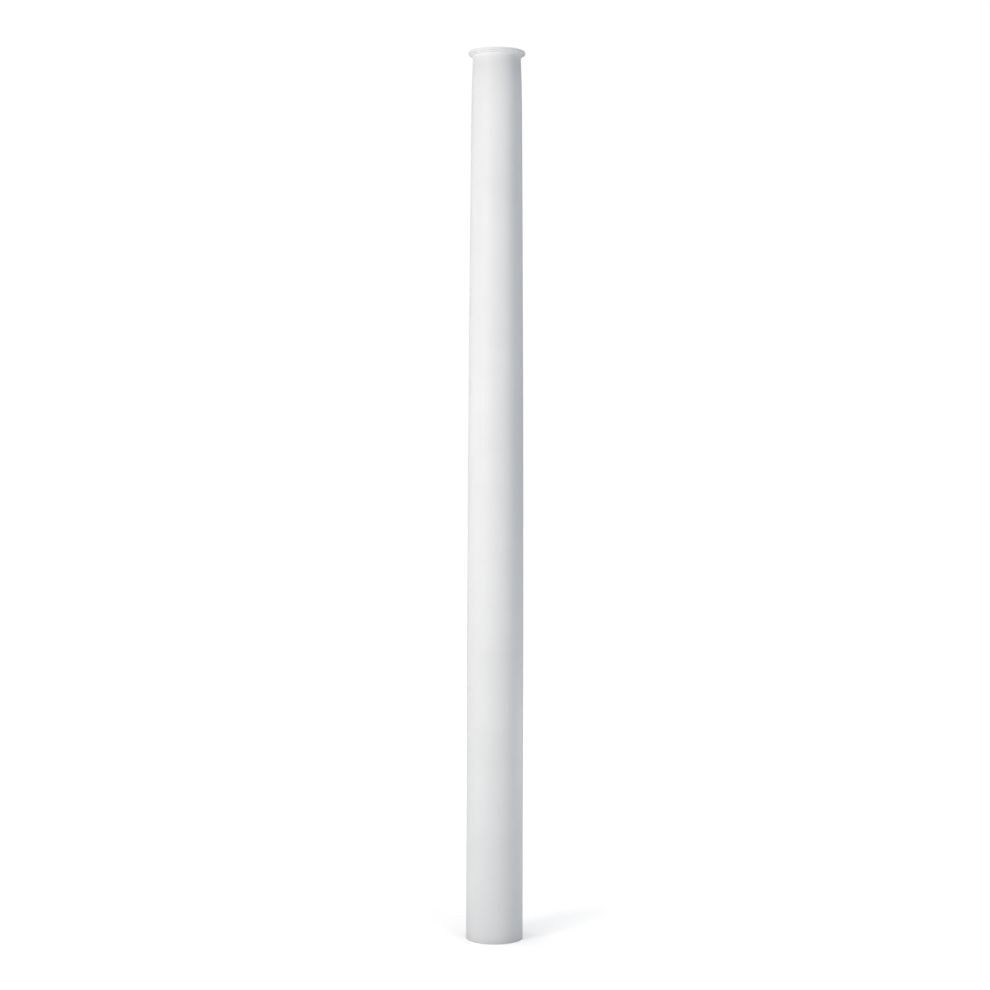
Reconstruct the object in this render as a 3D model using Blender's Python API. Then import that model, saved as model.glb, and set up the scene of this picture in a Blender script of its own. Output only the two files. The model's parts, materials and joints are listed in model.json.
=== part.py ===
"""A smooth round column shaft, moulded in one piece with the small collar round its head.

Metres, +Z up, with the origin in the middle of the cut foot. The shaft is turned from one half profile. From
the foot up, that profile is a straight lower shaft, an entasis, a necking that draws in faster, an apophyge
that sweeps out again under a fillet, and a half-round bead whose crown lies in the plane of the flat head.
"""

import math

import bmesh
import bpy

# The shaft
HEIGHT = 2.200
FOOT_RADIUS = 0.0705
FOOT_EASE = 0.0010

# The taper: what the entasis and then the necking take off the radius
STRAIGHT_HEIGHT = 0.600
ENTASIS_DEPTH = 0.0089
ENTASIS_POWER = 1.5
NECKING_HEIGHT = 0.140
NECKING_DEPTH = 0.0026
NECKING_POWER = 2.0

# The collar, from below: apophyge, fillet, bead, whose middle stands out a little from the fillet's face
APOPHYGE_HEIGHT = 0.0050
FILLET_PROJECTION = 0.0058
FILLET_HEIGHT = 0.0020
BEAD_STEP = 0.0015
BEAD_HEIGHT = 0.0084

# How finely the profile is divided and how many sides it is turned in
SIDES = 80
EASE_STEPS = 3
STRAIGHT_STEPS = 3
ENTASIS_STEPS = 9
NECKING_STEPS = 5
APOPHYGE_STEPS = 6
BEAD_STEPS = 10
MERGE_DISTANCE = 0.000001
SMOOTH_ANGLE = math.radians(35)

# What the sizes above give
NECK_RADIUS = FOOT_RADIUS - ENTASIS_DEPTH - NECKING_DEPTH
FILLET_RADIUS = NECK_RADIUS + FILLET_PROJECTION
BEAD_RADIUS = BEAD_HEIGHT / 2
HEAD_RADIUS = FILLET_RADIUS + BEAD_STEP
BEAD_BOTTOM = HEIGHT - BEAD_HEIGHT
FILLET_BOTTOM = BEAD_BOTTOM - FILLET_HEIGHT
NECK_HEIGHT = FILLET_BOTTOM - APOPHYGE_HEIGHT

# The finish: a white primer coat
PRIMER_COLOUR = (0.86, 0.86, 0.855, 1.0)
PRIMER_ROUGHNESS = 0.55


def clamped(share):
    return min(max(share, 0.0), 1.0)


def shaft_radius(z):
    """The radius of the shaft below its collar, at height z."""
    entasis = clamped((z - STRAIGHT_HEIGHT) / (NECK_HEIGHT - STRAIGHT_HEIGHT))
    necking = clamped((z - NECK_HEIGHT + NECKING_HEIGHT) / NECKING_HEIGHT)
    return FOOT_RADIUS - ENTASIS_DEPTH * entasis**ENTASIS_POWER - NECKING_DEPTH * necking**NECKING_POWER


def quarter_turns(steps, first, last):
    """Angles in radians from first to last quarter turn, both ends among them."""
    return [math.pi / 2 * (first + (last - first) * i / steps) for i in range(steps + 1)]


def foot_profile():
    """The foot's eased edge, from the flat underside out to the shaft's face."""
    middle = FOOT_RADIUS - FOOT_EASE
    return [
        (middle + FOOT_EASE * math.cos(angle), FOOT_EASE + FOOT_EASE * math.sin(angle))
        for angle in quarter_turns(EASE_STEPS, -1, 0)
    ]


def shaft_profile():
    """The shaft's face from above the eased foot to the neck, straight and then tapering."""
    stretches = [
        (FOOT_EASE, STRAIGHT_HEIGHT, STRAIGHT_STEPS),
        (STRAIGHT_HEIGHT, NECK_HEIGHT - NECKING_HEIGHT, ENTASIS_STEPS),
        (NECK_HEIGHT - NECKING_HEIGHT, NECK_HEIGHT, NECKING_STEPS),
    ]
    heights = [low + (high - low) * i / steps for low, high, steps in stretches for i in range(1, steps + 1)]
    return [(shaft_radius(z), z) for z in heights]


def apophyge_profile():
    """The hollow sweep from the upright neck out to the fillet's lower edge."""
    return [
        (FILLET_RADIUS - FILLET_PROJECTION * math.cos(angle), NECK_HEIGHT + APOPHYGE_HEIGHT * math.sin(angle))
        for angle in quarter_turns(APOPHYGE_STEPS, 0, 1)[1:]
    ]


def bead_profile():
    """The half-round bead, from the fillet's upper edge out under it and round to the flat head."""
    middle = HEIGHT - BEAD_RADIUS
    bead = [
        (HEAD_RADIUS + BEAD_RADIUS * math.cos(angle), middle + BEAD_RADIUS * math.sin(angle))
        for angle in quarter_turns(BEAD_STEPS, -1, 1)
    ]
    return [(FILLET_RADIUS, BEAD_BOTTOM), *bead]


def turned(name, profile):
    """A closed solid turned round the Z axis from (radius, height) points that start and end on the axis."""
    shape = bmesh.new()
    points = [shape.verts.new((radius, 0.0, z)) for radius, z in profile]
    edges = [shape.edges.new(pair) for pair in zip(points, points[1:])]
    bmesh.ops.spin(
        shape,
        geom=points + edges,
        cent=(0.0, 0.0, 0.0),
        axis=(0.0, 0.0, 1.0),
        angle=2 * math.pi,
        steps=SIDES,
        use_merge=True,
    )
    bmesh.ops.remove_doubles(shape, verts=shape.verts, dist=MERGE_DISTANCE)
    bmesh.ops.recalc_face_normals(shape, faces=shape.faces)
    mesh = bpy.data.meshes.new(name)
    shape.to_mesh(mesh)
    shape.free()
    mesh.shade_smooth()
    mesh.set_sharp_from_angle(angle=SMOOTH_ANGLE)
    return mesh


def primer():
    material = bpy.data.materials.new("white_primer")
    material.use_nodes = True
    shader = material.node_tree.nodes["Principled BSDF"]
    shader.inputs["Base Color"].default_value = PRIMER_COLOUR
    shader.inputs["Roughness"].default_value = PRIMER_ROUGHNESS
    shader.inputs["Metallic"].default_value = 0.0
    return material


def make_column_shaft():
    outline = [*foot_profile(), *shaft_profile(), *apophyge_profile(), *bead_profile()]
    mesh = turned("column_shaft", [(0.0, 0.0), *outline, (0.0, HEIGHT)])
    mesh.materials.append(primer())
    shaft = bpy.data.objects.new("column_shaft", mesh)
    bpy.context.scene.collection.objects.link(shaft)
    return shaft


def main():
    for old in list(bpy.data.objects):
        bpy.data.objects.remove(old)
    make_column_shaft()


main()
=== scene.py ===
"""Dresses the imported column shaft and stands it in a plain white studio.

The shaft is turned again at a much finer pitch than its solid, with softened arrises and the faint unevenness
of a moulding, and is coated in sprayed white primer. Sizes are in metres, in the frame of the solids.
"""

import json
import logging
import math
from dataclasses import dataclass, field
from enum import Enum
from typing import Any

import bmesh
import bpy
from bmesh.types import BMEdge, BMesh, BMVert
from mathutils import Euler, Matrix, Vector, noise


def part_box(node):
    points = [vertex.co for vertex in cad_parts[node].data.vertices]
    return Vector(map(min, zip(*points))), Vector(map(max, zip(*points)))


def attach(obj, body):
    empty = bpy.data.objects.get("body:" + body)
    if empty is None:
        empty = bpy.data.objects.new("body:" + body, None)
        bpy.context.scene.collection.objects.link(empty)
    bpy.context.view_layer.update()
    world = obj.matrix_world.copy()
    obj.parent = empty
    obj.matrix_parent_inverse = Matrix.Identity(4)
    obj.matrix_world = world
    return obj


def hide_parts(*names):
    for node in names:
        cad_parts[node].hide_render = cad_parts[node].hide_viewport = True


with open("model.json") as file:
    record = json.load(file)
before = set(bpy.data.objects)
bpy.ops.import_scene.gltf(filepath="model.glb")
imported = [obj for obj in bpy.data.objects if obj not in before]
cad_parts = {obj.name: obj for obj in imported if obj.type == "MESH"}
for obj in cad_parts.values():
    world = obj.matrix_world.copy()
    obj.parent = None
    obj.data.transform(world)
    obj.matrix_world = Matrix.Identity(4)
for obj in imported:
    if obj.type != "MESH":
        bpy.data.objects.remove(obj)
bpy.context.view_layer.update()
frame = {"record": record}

BODY = "root"
SOLID = "column_shaft"
PRIMER_SLOT = "white_primer"
MERGE_DISTANCE = 0.000001
ON_RING = 0.00001
ROUND_PROFILE = 0.5

Colour = tuple[float, float, float]

log = logging.getLogger("column_shaft")


class Face(Enum):
    """The two kinds of face on the shaft, numbered as its material slots."""

    COAT = 0
    CUT_END = 1


class Mark(Enum):
    """Values that the shaft's mesh carries at each vertex for its materials."""

    ARRIS = "arris"
    RIM_DEPTH = "rim_depth"


def clamped(share: float) -> float:
    """Holds a share between 0 and 1."""
    return min(max(share, 0.0), 1.0)


def opaque(colour: Colour) -> tuple[float, float, float, float]:
    """Gives a colour its full alpha."""
    return (*colour, 1.0)


def toned(colour: Colour, share: float) -> Colour:
    """Makes a colour lighter or darker by one factor."""
    red, green, blue = colour
    return (red * share, green * share, blue * share)


class Graph:
    """A shader node tree that is written one node at a time, from left to right."""

    COLUMN = 190
    ROW = 210
    ROWS = 4
    MIX_SHARE = 0
    MIX_FIRST_COLOUR = 6
    MIX_SECOND_COLOUR = 7
    MIXED_COLOUR = 2

    def __init__(self, tree: bpy.types.NodeTree) -> None:
        """Takes an empty tree to fill."""
        self.tree = tree
        self.count = 0

    def add(
        self, kind: str, *, inputs: dict[str | int, Any] | None = None, **settings: Any
    ) -> bpy.types.Node:
        """Adds a node and fills its sockets.

        Args:
            kind: the node's type, such as "ShaderNodeMath".
            inputs: for each input socket, by name or number, a plain value or the socket that feeds it.
            settings: the node's own properties.

        Returns:
            The new node.
        """
        node = self.tree.nodes.new(kind)
        node.location = (self.COLUMN * (self.count // self.ROWS), -self.ROW * (self.count % self.ROWS))
        self.count += 1
        for name, value in settings.items():
            setattr(node, name, value)
        for socket, value in (inputs or {}).items():
            if isinstance(value, bpy.types.NodeSocket):
                self.tree.links.new(value, node.inputs[socket])
            else:
                node.inputs[socket].default_value = value
        return node

    def math(self, operation: str, first: Any, second: Any = 0.0, third: Any = 0.0) -> bpy.types.NodeSocket:
        """Adds a Math node.

        Args:
            operation: its operation, such as "MULTIPLY".
            first: its first value or the socket that feeds it.
            second: its second.
            third: its third.

        Returns:
            Its output socket.
        """
        node = self.add("ShaderNodeMath", inputs={0: first, 1: second, 2: third}, operation=operation)
        return node.outputs[0]

    def remap(
        self, value: bpy.types.NodeSocket, low: Any, high: Any, new_low: Any, new_high: Any
    ) -> bpy.types.NodeSocket:
        """Carries a value from one range to another, smoothly and held at both ends.

        Args:
            value: the socket to carry over.
            low: where the old range starts.
            high: where it ends.
            new_low: what low becomes.
            new_high: what high becomes.

        Returns:
            The output socket.
        """
        inputs = {"Value": value, "From Min": low, "From Max": high, "To Min": new_low, "To Max": new_high}
        node = self.add("ShaderNodeMapRange", inputs=inputs, interpolation_type="SMOOTHSTEP")
        return node.outputs["Result"]

    def blend(self, share: Any, first: Any, second: Any) -> bpy.types.NodeSocket:
        """Mixes two colours.

        Args:
            share: how much of the second colour shows.
            first: the first colour or its socket.
            second: the second.

        Returns:
            The colour's socket.
        """
        inputs = {self.MIX_SHARE: share, self.MIX_FIRST_COLOUR: first, self.MIX_SECOND_COLOUR: second}
        node = self.add("ShaderNodeMix", inputs=inputs, data_type="RGBA")
        return node.outputs[self.MIXED_COLOUR]


class EffectGroup:
    """A shader node group with named inputs and outputs, built once and placed in several materials."""

    SOCKETS = {"value": "NodeSocketFloat", "colour": "NodeSocketColor", "vector": "NodeSocketVector"}

    def __init__(self, name: str, takes: dict[str, str], gives: dict[str, str]) -> None:
        """Makes the group's sockets.

        Args:
            name: the group's name.
            takes: each input's name and kind.
            gives: each output's name and kind.
        """
        self.tree = bpy.data.node_groups.new(name, "ShaderNodeTree")
        for in_out, sockets in (("INPUT", takes), ("OUTPUT", gives)):
            for socket, kind in sockets.items():
                self.tree.interface.new_socket(socket, in_out=in_out, socket_type=self.SOCKETS[kind])
        self.graph = Graph(self.tree)
        self.inputs = self.graph.add("NodeGroupInput").outputs

    def close(self, **results: bpy.types.NodeSocket) -> None:
        """Feeds the group's outputs, each named by its socket in small letters."""
        outputs = self.graph.add("NodeGroupOutput").inputs
        for socket in outputs:
            key = socket.name.lower()
            if key in results:
                self.tree.links.new(results[key], socket)

    def place(self, graph: Graph, inputs: dict[str, Any]) -> bpy.types.Node:
        """Places the group in a material.

        Args:
            graph: the material's tree.
            inputs: the group's inputs, each a plain value or a socket.

        Returns:
            The group's node there.
        """
        return graph.add("ShaderNodeGroup", inputs=inputs, node_tree=self.tree)


def sprayed_coat_group() -> EffectGroup:
    """Builds the look of sprayed primer: a faint mottle in its tone and sheen, and fine round grain.

    Returns:
        The group, whose height is in metres.
    """
    takes = {
        "Position": "vector",
        "Thin Tint": "colour",
        "Full Tint": "colour",
        "Mottle Scale": "value",
        "Grain Scale": "value",
        "Grain Height": "value",
        "Smoothest": "value",
        "Roughest": "value",
    }
    group = EffectGroup("sprayed_coat", takes, {"Color": "colour", "Roughness": "value", "Height": "value"})
    graph, given = group.graph, group.inputs
    noise_low = 0.32
    noise_high = 0.68
    noise_gain = 0.55
    finer_grain = 3.1
    finer_share = 0.3
    sheen_per_mottle = 7.0

    def noise_at(scale: Any, octaves: float) -> bpy.types.NodeSocket:
        """Samples noise at the group's position, with a scale per metre and a number of octaves."""
        inputs = {"Vector": given["Position"], "Scale": scale, "Detail": octaves, "Roughness": noise_gain}
        return graph.add("ShaderNodeTexNoise", inputs=inputs).outputs["Fac"]

    mottle = graph.remap(noise_at(given["Mottle Scale"], octaves=3.0), noise_low, noise_high, 0.0, 1.0)
    grain = noise_at(given["Grain Scale"], octaves=2.0)
    finer = noise_at(graph.math("MULTIPLY", given["Grain Scale"], finer_grain), octaves=1.0)
    sheen = noise_at(graph.math("MULTIPLY", given["Mottle Scale"], sheen_per_mottle), octaves=2.0)
    relief = graph.math("MULTIPLY_ADD", finer, finer_share, grain)
    group.close(
        color=graph.blend(mottle, given["Thin Tint"], given["Full Tint"]),
        roughness=graph.remap(sheen, noise_low, noise_high, given["Smoothest"], given["Roughest"]),
        height=graph.math("MULTIPLY", relief, given["Grain Height"]),
    )
    return group


def sawn_face_group() -> EffectGroup:
    """Builds the look of a sawn end: shallow saw lines one way and open pores between them.

    Returns:
        The group, whose height is in metres and whose pores are a mask.
    """
    takes = {
        "Position": "vector",
        "Line Scale": "value",
        "Line Depth": "value",
        "Pore Scale": "value",
        "Pore Size": "value",
        "Pore Depth": "value",
    }
    group = EffectGroup("sawn_face", takes, {"Pores": "value", "Height": "value"})
    graph, given = group.graph, group.inputs
    saw_degrees = 26.0
    saw_turn = Euler((0.0, 0.0, math.radians(saw_degrees)))
    saw_stretch = Vector((1.0, 0.03, 1.0))
    saw_octaves = 2.0
    stretched = graph.add(
        "ShaderNodeMapping",
        inputs={"Vector": given["Position"], "Rotation": saw_turn, "Scale": saw_stretch},
    )
    lines = graph.add(
        "ShaderNodeTexNoise",
        inputs={
            "Vector": stretched.outputs["Vector"],
            "Scale": given["Line Scale"],
            "Detail": saw_octaves,
        },
    )
    cells = graph.add(
        "ShaderNodeTexVoronoi",
        inputs={"Vector": given["Position"], "Scale": given["Pore Scale"], "Randomness": 1.0},
    )
    pores = graph.remap(cells.outputs["Distance"], 0.0, given["Pore Size"], 1.0, 0.0)
    sunk = graph.math("MULTIPLY", pores, graph.math("MULTIPLY", given["Pore Depth"], -1.0))
    height = graph.math("MULTIPLY_ADD", lines.outputs["Fac"], given["Line Depth"], sunk)
    group.close(pores=pores, height=height)
    return group


class Workshop:
    """The effects that the finishes share, each built once."""

    def __init__(self) -> None:
        """Builds the groups."""
        self.sprayed_coat = sprayed_coat_group()
        self.sawn_face = sawn_face_group()


def blank_material(name: str) -> tuple[bpy.types.Material, Graph, bpy.types.Node]:
    """Starts a material with a Principled shader wired to its output.

    Args:
        name: the material's name.

    Returns:
        The material, its graph and its shader.
    """
    material = bpy.data.materials.new(name)
    material.use_nodes = True
    material.node_tree.nodes.clear()
    graph = Graph(material.node_tree)
    shader = graph.add("ShaderNodeBsdfPrincipled")
    graph.add("ShaderNodeOutputMaterial", inputs={"Surface": shader.outputs["BSDF"]})
    return material, graph, shader


@dataclass(frozen=True)
class SprayedPrimer:
    """White primer sprayed on the moulding's smooth skin, a touch thinner and smoother on the arrises."""

    tint: Colour
    name: str = "sprayed_primer"
    thin_share: float = 0.98
    full_share: float = 1.014
    arris_share: float = 0.925
    mottle_per_metre: float = 6.0
    grain_per_metre: float = 720.0
    grain_height: float = 0.000035
    smoothest: float = 0.46
    roughest: float = 0.58
    arris_roughness: float = 0.40
    rubs_per_metre: float = 60.0
    rub_octaves: float = 4.0
    rubs_start: float = 0.45
    rubs_full: float = 0.70
    least_rubbed: float = 0.1
    most_rubbed: float = 0.7
    specular: float = 0.42

    def material(self, workshop: Workshop) -> bpy.types.Material:
        """Builds the material.

        Args:
            workshop: the shared effects.

        Returns:
            The material.
        """
        material, graph, shader = blank_material(self.name)
        position = graph.add("ShaderNodeTexCoord").outputs["Object"]
        coat = workshop.sprayed_coat.place(
            graph,
            {
                "Position": position,
                "Thin Tint": opaque(toned(self.tint, self.thin_share)),
                "Full Tint": opaque(toned(self.tint, self.full_share)),
                "Mottle Scale": self.mottle_per_metre,
                "Grain Scale": self.grain_per_metre,
                "Grain Height": self.grain_height,
                "Smoothest": self.smoothest,
                "Roughest": self.roughest,
            },
        )
        arris = graph.add("ShaderNodeAttribute", attribute_name=Mark.ARRIS.value).outputs["Fac"]
        breakup = graph.add(
            "ShaderNodeTexNoise",
            inputs={"Vector": position, "Scale": self.rubs_per_metre, "Detail": self.rub_octaves},
        )
        patches = graph.remap(
            breakup.outputs["Fac"], self.rubs_start, self.rubs_full, self.least_rubbed, self.most_rubbed
        )
        rubbed = graph.math("MULTIPLY", arris, patches)
        roughness = graph.math(
            "MULTIPLY_ADD",
            rubbed,
            graph.math("SUBTRACT", self.arris_roughness, coat.outputs["Roughness"]),
            coat.outputs["Roughness"],
        )
        bump = graph.add("ShaderNodeBump", inputs={"Distance": 1.0, "Height": coat.outputs["Height"]})
        links = graph.tree.links
        worn_tint = opaque(toned(self.tint, self.arris_share))
        links.new(graph.blend(rubbed, coat.outputs["Color"], worn_tint), shader.inputs["Base Color"])
        links.new(roughness, shader.inputs["Roughness"])
        links.new(bump.outputs["Normal"], shader.inputs["Normal"])
        shader.inputs["Specular IOR Level"].default_value = self.specular
        return material


@dataclass(frozen=True)
class SawnEnd:
    """The cut foot and head: the same primer brushed thinly over sawn foam, inside the denser skin's ring."""

    name: str = "sawn_end"
    thin_tint: Colour = (0.79, 0.785, 0.765)
    full_tint: Colour = (0.845, 0.842, 0.83)
    pore_tint: Colour = (0.60, 0.585, 0.55)
    skin_width: float = 0.0035
    skin_softness: float = 0.3
    mottle_per_metre: float = 38.0
    grain_per_metre: float = 1100.0
    grain_height: float = 0.00006
    lines_per_metre: float = 420.0
    line_depth: float = 0.00016
    pores_per_metre: float = 520.0
    pore_size: float = 0.30
    pore_depth: float = 0.00030
    smoothest: float = 0.62
    roughest: float = 0.78

    def material(self, workshop: Workshop) -> bpy.types.Material:
        """Builds the material.

        Args:
            workshop: the shared effects.

        Returns:
            The material.
        """
        material, graph, shader = blank_material(self.name)
        position = graph.add("ShaderNodeTexCoord").outputs["Object"]
        coat = workshop.sprayed_coat.place(
            graph,
            {
                "Position": position,
                "Thin Tint": opaque(self.thin_tint),
                "Full Tint": opaque(self.full_tint),
                "Mottle Scale": self.mottle_per_metre,
                "Grain Scale": self.grain_per_metre,
                "Grain Height": self.grain_height,
                "Smoothest": self.smoothest,
                "Roughest": self.roughest,
            },
        )
        sawn = workshop.sawn_face.place(
            graph,
            {
                "Position": position,
                "Line Scale": self.lines_per_metre,
                "Line Depth": self.line_depth,
                "Pore Scale": self.pores_per_metre,
                "Pore Size": self.pore_size,
                "Pore Depth": self.pore_depth,
            },
        )
        depth = graph.add("ShaderNodeAttribute", attribute_name=Mark.RIM_DEPTH.value).outputs["Fac"]
        skin_inside = self.skin_width * (1.0 - self.skin_softness)
        core_starts = self.skin_width * (1.0 + self.skin_softness)
        core = graph.remap(depth, skin_inside, core_starts, 0.0, 1.0)
        pores = graph.math("MULTIPLY", sawn.outputs["Pores"], core)
        relief = graph.math("MULTIPLY_ADD", sawn.outputs["Height"], core, coat.outputs["Height"])
        bump = graph.add("ShaderNodeBump", inputs={"Distance": 1.0, "Height": relief})
        tint = graph.blend(pores, coat.outputs["Color"], opaque(self.pore_tint))
        links = graph.tree.links
        links.new(tint, shader.inputs["Base Color"])
        links.new(coat.outputs["Roughness"], shader.inputs["Roughness"])
        links.new(bump.outputs["Normal"], shader.inputs["Normal"])
        return material


@dataclass
class ColumnShaft:
    """The turned shaft with its collar, from the flat foot to the flat head."""

    height: float
    foot_radius: float
    coat: SprayedPrimer
    end: SawnEnd = field(default_factory=SawnEnd)
    foot_ease: float = 0.0010
    straight_height: float = 0.600
    entasis_depth: float = 0.0089
    entasis_power: float = 1.5
    necking_height: float = 0.140
    necking_depth: float = 0.0026
    necking_power: float = 2.0
    apophyge_height: float = 0.0050
    fillet_projection: float = 0.0058
    fillet_height: float = 0.0020
    bead_step: float = 0.0015
    bead_height: float = 0.0084
    arris_radius: float = 0.0003
    rim_inset: float = 0.0010
    wear_reach: float = 0.0010
    foot_wear_stretch: float = 3.0
    sides: int = 256
    ring_spacing: float = 0.016
    ease_steps: int = 6
    apophyge_steps: int = 12
    bead_steps: int = 24
    arris_steps: int = 3
    unevenness: float = 0.00010
    unevenness_round: float = 0.080
    unevenness_along: float = 0.300
    unevenness_fade: float = 0.070
    patch_falloff: float = 1.0
    patch_lacunarity: float = 2.0
    patch_octaves: int = 3

    @classmethod
    def from_frame(cls) -> "ColumnShaft":
        """Takes the height and the foot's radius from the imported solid, and the colour from its slot.

        Returns:
            The shaft, ready to build.
        """
        low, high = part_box(SOLID)
        tints = {entry["slot"]: tuple(entry["base_color"]) for entry in frame["record"]["materials"]}
        coat = SprayedPrimer(tint=tints[PRIMER_SLOT])
        return cls(height=high.z - low.z, foot_radius=(high.x - low.x) / 2, coat=coat)

    @property
    def neck_radius(self) -> float:
        """The radius where the taper ends."""
        return self.foot_radius - self.entasis_depth - self.necking_depth

    @property
    def fillet_radius(self) -> float:
        """The radius of the fillet's face."""
        return self.neck_radius + self.fillet_projection

    @property
    def head_radius(self) -> float:
        """The radius of the flat head, over the middle of the bead."""
        return self.fillet_radius + self.bead_step

    @property
    def bead_bottom(self) -> float:
        """The height where the bead meets the fillet."""
        return self.height - self.bead_height

    @property
    def fillet_bottom(self) -> float:
        """The height where the fillet meets the apophyge."""
        return self.bead_bottom - self.fillet_height

    @property
    def neck_height(self) -> float:
        """The height where the taper ends and the apophyge starts."""
        return self.fillet_bottom - self.apophyge_height

    def radius_at(self, z: float) -> float:
        """Gives the radius of the shaft below its collar.

        Args:
            z: the height.

        Returns:
            The radius there.
        """
        entasis = clamped((z - self.straight_height) / (self.neck_height - self.straight_height))
        necking = clamped((z - self.neck_height + self.necking_height) / self.necking_height)
        drawn_in = self.entasis_depth * entasis**self.entasis_power
        return self.foot_radius - drawn_in - self.necking_depth * necking**self.necking_power

    @staticmethod
    def line_to(shape: BMesh, start: BMVert, radius: float, z: float) -> BMVert:
        """Draws a straight stretch of the half profile.

        Args:
            shape: the mesh that holds the profile.
            start: its last point.
            radius: how far from the axis the stretch ends.
            z: the height where it ends.

        Returns:
            The new last point.
        """
        end = bmesh.ops.extrude_vert_indiv(shape, verts=[start])["verts"][0]
        end.co = Vector((radius, 0.0, z))
        return end

    @staticmethod
    def arc_to(shape: BMesh, start: BMVert, centre: Vector, angle: float, steps: int) -> BMVert:
        """Draws an arc of the half profile by spinning its last point in the plane of the profile.

        Args:
            shape: the mesh that holds the profile.
            start: its last point.
            centre: the arc's centre.
            angle: how far it turns, anticlockwise as seen along +Y.
            steps: how many pieces it has.

        Returns:
            The new last point.
        """
        axis = Vector((0.0, -1.0, 0.0))
        spun = bmesh.ops.spin(shape, geom=[start], cent=centre, axis=axis, angle=angle, steps=steps)
        return next(item for item in spun["geom_last"] if isinstance(item, BMVert))

    def draw_profile(self, shape: BMesh) -> None:
        """Draws the half profile in the XZ plane, from the middle of the foot to the middle of the head.

        Args:
            shape: an empty mesh.
        """
        quarter = math.pi / 2
        flat_radius = self.foot_radius - self.foot_ease
        last = self.line_to(shape, shape.verts.new((0.0, 0.0, 0.0)), flat_radius - self.rim_inset, 0.0)
        last = self.line_to(shape, last, flat_radius, 0.0)
        last = self.arc_to(shape, last, Vector((flat_radius, 0.0, self.foot_ease)), quarter, self.ease_steps)
        last = self.draw_taper(shape, last)
        last = self.draw_apophyge(shape, last)
        last = self.line_to(shape, last, self.fillet_radius, self.bead_bottom)
        last = self.line_to(shape, last, self.head_radius, self.bead_bottom)
        bead_middle = Vector((self.head_radius, 0.0, self.height - self.bead_height / 2))
        last = self.arc_to(shape, last, bead_middle, 2 * quarter, self.bead_steps)
        last = self.line_to(shape, last, self.head_radius - self.rim_inset, self.height)
        self.line_to(shape, last, 0.0, self.height)

    def draw_taper(self, shape: BMesh, start: BMVert) -> BMVert:
        """Draws the shaft's face from the eased foot to the neck.

        Args:
            shape: the mesh that holds the profile.
            start: its last point, at the top of the eased edge.

        Returns:
            The point at the neck.
        """
        last = start
        rings = round((self.neck_height - self.foot_ease) / self.ring_spacing)
        for ring in range(1, rings + 1):
            z = self.foot_ease + (self.neck_height - self.foot_ease) * ring / rings
            last = self.line_to(shape, last, self.radius_at(z), z)
        return last

    def draw_apophyge(self, shape: BMesh, neck: BMVert) -> BMVert:
        """Draws the hollow quarter that sweeps from the upright neck out to the fillet.

        Args:
            shape: the mesh that holds the profile.
            neck: its last point.

        Returns:
            The point at the fillet's lower edge.
        """
        drawn = set(shape.verts)
        centre = Vector((self.fillet_radius, 0.0, self.neck_height))
        last = self.arc_to(shape, neck, centre, -math.pi / 2, self.apophyge_steps)
        bmesh.ops.scale(
            shape,
            vec=Vector((1.0, 1.0, self.apophyge_height / self.fillet_projection)),
            space=Matrix.Translation(-centre),
            verts=[point for point in shape.verts if point not in drawn],
        )
        return last

    def ring_edges(self, shape: BMesh, radius: float, z: float) -> list[BMEdge]:
        """Finds the edges of one ring of the turned shaft.

        Args:
            shape: the turned mesh.
            radius: the ring's radius.
            z: its height.

        Returns:
            The ring's edges.
        """

        def on_ring(point: BMVert) -> bool:
            """Says if a vertex lies on the ring."""
            return abs(point.co.z - z) < ON_RING and abs(point.co.xy.length - radius) < ON_RING

        return [edge for edge in shape.edges if all(on_ring(point) for point in edge.verts)]

    def soften_arrises(self, shape: BMesh) -> None:
        """Rounds the fillet's two edges, as a coat of primer leaves them.

        Args:
            shape: the turned mesh.
        """
        edges = [
            *self.ring_edges(shape, self.fillet_radius, self.fillet_bottom),
            *self.ring_edges(shape, self.fillet_radius, self.bead_bottom),
        ]
        bmesh.ops.bevel(
            shape,
            geom=edges,
            offset=self.arris_radius,
            segments=self.arris_steps,
            profile=ROUND_PROFILE,
            affect="EDGES",
            material=-1,
            clamp_overlap=True,
        )

    def add_unevenness(self, shape: BMesh) -> None:
        """Moves the shaft's face in and out by about a tenth of a millimetre, in long patches.

        Args:
            shape: the turned mesh.
        """
        for point in shape.verts:
            clear = min(point.co.z - self.foot_ease, self.neck_height - point.co.z)
            share = clamped(clear / self.unevenness_fade)
            if share > 0:
                place = Vector((*(point.co.xy / self.unevenness_round), point.co.z / self.unevenness_along))
                outward = Vector((*point.co.xy.normalized(), 0.0))
                patch = noise.fractal(place, self.patch_falloff, self.patch_lacunarity, self.patch_octaves)
                point.co += outward * (self.unevenness * share * patch)

    def mark_vertices(self, shape: BMesh) -> None:
        """Stores where the arrises are, and how far each end vertex lies inside the rim.

        Args:
            shape: the turned mesh.
        """
        arris = shape.verts.layers.float.new(Mark.ARRIS.value)
        rim_depth = shape.verts.layers.float.new(Mark.RIM_DEPTH.value)
        crown = self.head_radius + self.bead_height / 2
        fillet_edge = (self.fillet_radius, self.fillet_bottom)
        for point in shape.verts:
            radius, z = point.co.xy.length, point.co.z
            foot_depth = max(z / self.foot_wear_stretch, self.foot_radius - radius)
            crown_depth = crown - radius if z > self.bead_bottom else self.wear_reach
            fillet_depth = math.dist((radius, z), fillet_edge)
            point[arris] = clamped(1.0 - min(foot_depth, crown_depth, fillet_depth) / self.wear_reach)
            rim = self.foot_radius - self.foot_ease if z < self.height / 2 else self.head_radius
            point[rim_depth] = max(rim - radius, 0.0)

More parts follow.
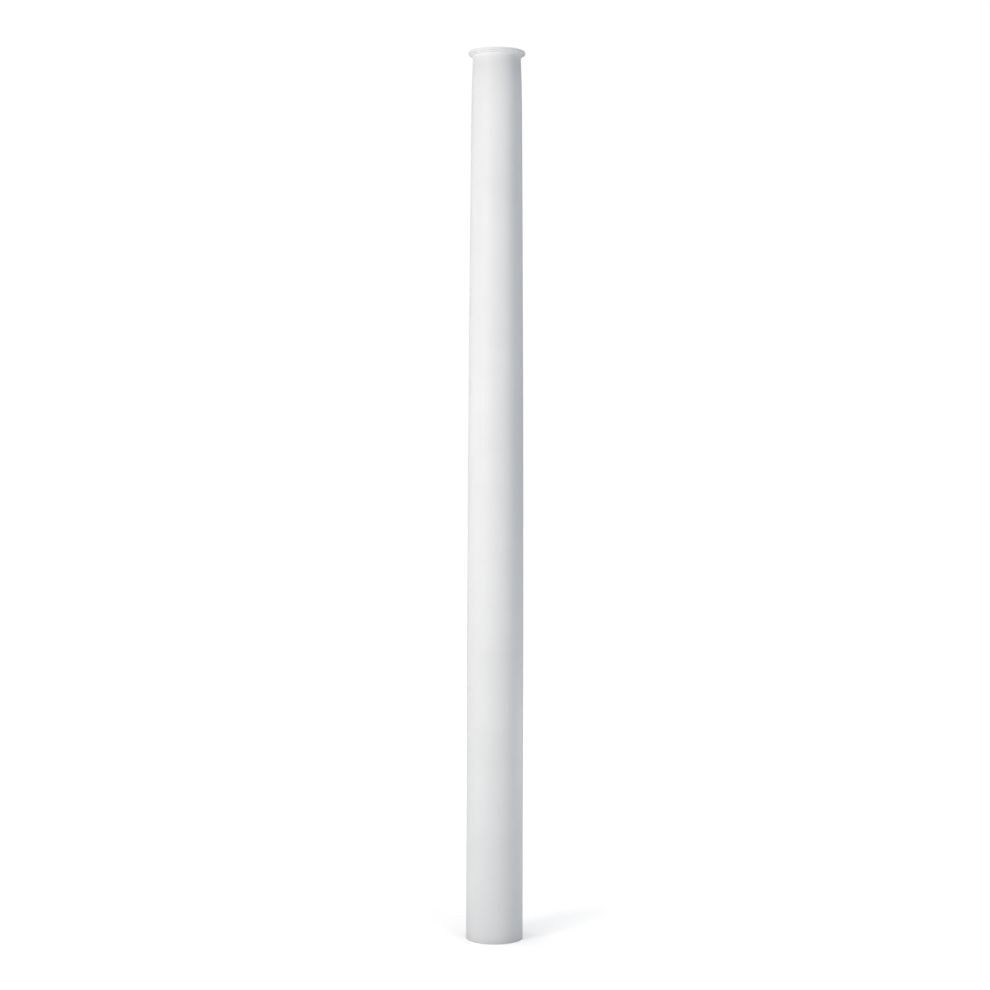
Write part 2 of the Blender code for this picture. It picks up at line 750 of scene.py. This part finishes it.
    def paint_faces(self, shape: BMesh) -> None:
        """Shades every face smooth, and gives the flat ends their own material slot.

        Args:
            shape: the turned mesh.
        """
        for face in shape.faces:
            z = face.calc_center_median().z
            at_end = z < MERGE_DISTANCE or z > self.height - MERGE_DISTANCE
            face.material_index = (Face.CUT_END if at_end else Face.COAT).value
            face.smooth = True

    def build(self, workshop: Workshop) -> bpy.types.Object:
        """Turns the shaft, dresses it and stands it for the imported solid.

        Args:
            workshop: the shared effects.

        Returns:
            The piece.
        """
        shape = bmesh.new()
        self.draw_profile(shape)
        bmesh.ops.spin(
            shape,
            geom=[*shape.verts, *shape.edges],
            cent=(0.0, 0.0, 0.0),
            axis=(0.0, 0.0, 1.0),
            angle=2 * math.pi,
            steps=self.sides,
            use_merge=True,
        )
        bmesh.ops.remove_doubles(shape, verts=shape.verts, dist=MERGE_DISTANCE)
        bmesh.ops.recalc_face_normals(shape, faces=shape.faces)
        self.soften_arrises(shape)
        self.add_unevenness(shape)
        self.mark_vertices(shape)
        self.paint_faces(shape)
        mesh = bpy.data.meshes.new("shaft")
        shape.to_mesh(mesh)
        shape.free()
        for finish in (self.coat, self.end):
            mesh.materials.append(finish.material(workshop))
        piece = bpy.data.objects.new("shaft", mesh)
        bpy.context.scene.collection.objects.link(piece)
        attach(piece, BODY)
        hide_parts(SOLID)
        log.info("%s: %d faces, %d vertices", piece.name, len(mesh.polygons), len(mesh.vertices))
        return piece


def toward(azimuth: float, distance: float, z: float) -> Vector:
    """Finds a place round the shaft.

    Args:
        azimuth: degrees round from the camera's side, positive to the camera's right.
        distance: how far from the axis, in metres.
        z: the height.

    Returns:
        The place.
    """
    angle = math.radians(azimuth)
    return Vector((math.sin(angle) * distance, -math.cos(angle) * distance, z))


def aimed(place: Vector, target: Vector, roll: float = 0.0) -> Matrix:
    """Points something that looks down its own -Z axis.

    Args:
        place: where it is.
        target: what it looks at.
        roll: how far it then turns about its line of sight, in radians.

    Returns:
        Its world matrix.
    """
    facing = (target - place).to_track_quat("-Z", "Y").to_matrix().to_4x4()
    return Matrix.Translation(place) @ facing @ Matrix.Rotation(roll, 4, "Z")


@dataclass(frozen=True)
class Softbox:
    """A rectangular studio light that looks at a point on the shaft's axis."""

    name: str
    azimuth: float
    distance: float
    z: float
    aim_z: float
    width: float
    length: float
    watts: float
    colour: Colour

    def hang(self) -> bpy.types.Object:
        """Makes the light.

        Returns:
            The light's object.
        """
        light = bpy.data.lights.new(self.name, "AREA")
        light.shape = "RECTANGLE"
        light.size = self.width
        light.size_y = self.length
        light.energy = self.watts
        light.color = self.colour
        lamp = bpy.data.objects.new(self.name, light)
        lamp.matrix_world = aimed(toward(self.azimuth, self.distance, self.z), Vector((0.0, 0.0, self.aim_z)))
        lamp.visible_camera = False
        bpy.context.scene.collection.objects.link(lamp)
        return lamp


@dataclass(frozen=True)
class Studio:
    """A white floor that runs out into a white surround, under soft light from the left and from above."""

    floor_side: float = 60.0
    floor_tint: Colour = (0.54, 0.54, 0.54)
    # Painted shade: a darker floor round the foot, seen only in bounced light, and how far it reaches
    foot_shade_tint: Colour = (0.34, 0.34, 0.34)
    foot_shade_reach: float = 0.26
    floor_roughness: float = 0.8
    near_floor_tint: Colour = (0.94, 0.92, 0.90)
    far_floor_tint: Colour = (1.40, 1.36, 1.32)
    near_floor: float = 0.30
    far_floor: float = 2.0
    surround: Colour = (1.0, 1.0, 1.0)
    ambient: Colour = (0.134, 0.163, 0.201)
    overhead_strength: float = 2.2
    overhead_angle: float = 34.0
    # Each softbox: name, azimuth, distance, z, aim_z, width, length, watts and colour
    softboxes: tuple[Softbox, ...] = (
        Softbox("key_high", -35.0, 3.2, 2.40, 1.50, 0.8, 1.6, 20.7, (1.0, 0.874, 0.771)),
        Softbox("key_tall", -48.0, 3.2, 1.60, 1.20, 0.8, 2.6, 38.7, (1.0, 0.995, 0.988)),
        Softbox("front_right", 30.0, 3.0, 2.00, 1.60, 0.7, 1.4, 16.1, (0.995, 1.0, 0.987)),
        Softbox("left_edge", -110.0, 3.0, 1.70, 1.30, 1.6, 2.0, 16.2, (1.0, 0.988, 0.955)),
        Softbox("near_right", 110.0, 0.8, 0.42, 0.38, 0.3, 0.3, 0.86, (1.0, 1.0, 1.0)),
        Softbox("right_high", 130.0, 2.4, 2.30, 2.00, 0.7, 0.7, 2.35, (1.0, 1.0, 1.0)),
    )

    def floor_material(self) -> bpy.types.Material:
        """Builds the floor's white, which gets lighter with distance as the softboxes' light falls off.

        The camera sees that white, but the shaft gets its light back from a greyer floor. Round the foot that
        floor is darker still, as painted shade that darkens the shaft's foot.

        Returns:
            The material.
        """
        material, graph, shader = blank_material("white_floor")
        position = graph.add("ShaderNodeTexCoord").outputs["Object"]
        length = graph.add("ShaderNodeVectorMath", inputs={0: position}, operation="LENGTH")
        distance = length.outputs["Value"]
        far = graph.remap(distance, self.near_floor, self.far_floor, 0.0, 1.0)
        shown = graph.blend(far, opaque(self.near_floor_tint), opaque(self.far_floor_tint))
        # Painted shade: the bounced floor darkens towards the foot, so the shaft's foot gets less light back
        clear = graph.remap(distance, 0.0, self.foot_shade_reach, 0.0, 1.0)
        bounced_with_foot_shade = graph.blend(clear, opaque(self.foot_shade_tint), opaque(self.floor_tint))
        seen = graph.add("ShaderNodeLightPath").outputs["Is Camera Ray"]
        graph.tree.links.new(graph.blend(seen, bounced_with_foot_shade, shown), shader.inputs["Base Color"])
        shader.inputs["Roughness"].default_value = self.floor_roughness
        return material

    def lay_floor(self) -> None:
        """Lays the floor at the level of the foot."""
        shape = bmesh.new()
        bmesh.ops.create_grid(shape, x_segments=1, y_segments=1, size=self.floor_side / 2)
        mesh = bpy.data.meshes.new("floor")
        shape.to_mesh(mesh)
        shape.free()
        mesh.materials.append(self.floor_material())
        floor = bpy.data.objects.new("floor", mesh)
        bpy.context.scene.collection.objects.link(floor)

    def hang_overhead(self) -> None:
        """Hangs the broad light that falls straight down and keeps the floor white."""
        light = bpy.data.lights.new("overhead", "SUN")
        light.energy = self.overhead_strength
        light.angle = math.radians(self.overhead_angle)
        bpy.context.scene.collection.objects.link(bpy.data.objects.new("overhead", light))

    def fill_world(self) -> None:
        """Makes the surround white to the eye and a weaker, cool light to the shaft."""
        world = bpy.data.worlds.new("surround")
        world.use_nodes = True
        world.node_tree.nodes.clear()
        graph = Graph(world.node_tree)
        seen = graph.add("ShaderNodeLightPath").outputs["Is Camera Ray"]
        colour = graph.blend(seen, opaque(self.ambient), opaque(self.surround))
        sky = graph.add("ShaderNodeBackground", inputs={"Color": colour})
        graph.add("ShaderNodeOutputWorld", inputs={"Surface": sky.outputs["Background"]})
        bpy.context.scene.world = world

    def build(self) -> None:
        """Lays the floor and hangs the lights."""
        self.lay_floor()
        self.hang_overhead()
        self.fill_world()
        for softbox in self.softboxes:
            softbox.hang()
            log.info("light %s", softbox.name)
        bpy.context.scene.view_settings.view_transform = "Standard"


@dataclass(frozen=True)
class PhotoCamera:
    """The photograph's viewpoint: just above the shaft's middle, looking down a little, with a slight roll."""

    distance: float = 4.815
    eye_z: float = 1.190
    aim_x: float = -0.0015
    aim_z: float = 1.1039
    roll_degrees: float = 0.17
    focal_length_mm: float = 70.48
    sensor_mm: float = 36.0

    def build(self) -> None:
        """Makes the camera and gives it to the scene."""
        data = bpy.data.cameras.new("camera")
        data.lens = self.focal_length_mm
        data.sensor_width = self.sensor_mm
        camera = bpy.data.objects.new("camera", data)
        place = Vector((self.aim_x, -self.distance, self.eye_z))
        target = Vector((self.aim_x, 0.0, self.aim_z))
        camera.matrix_world = aimed(place, target, math.radians(self.roll_degrees))
        bpy.context.scene.collection.objects.link(camera)
        bpy.context.scene.camera = camera


def main() -> None:
    """Builds the shaft, the studio and the camera."""
    logging.basicConfig(level=logging.INFO, format="%(name)s: %(message)s")
    ColumnShaft.from_frame().build(Workshop())
    Studio().build()
    PhotoCamera().build()


if __name__ == "__main__":
    main()
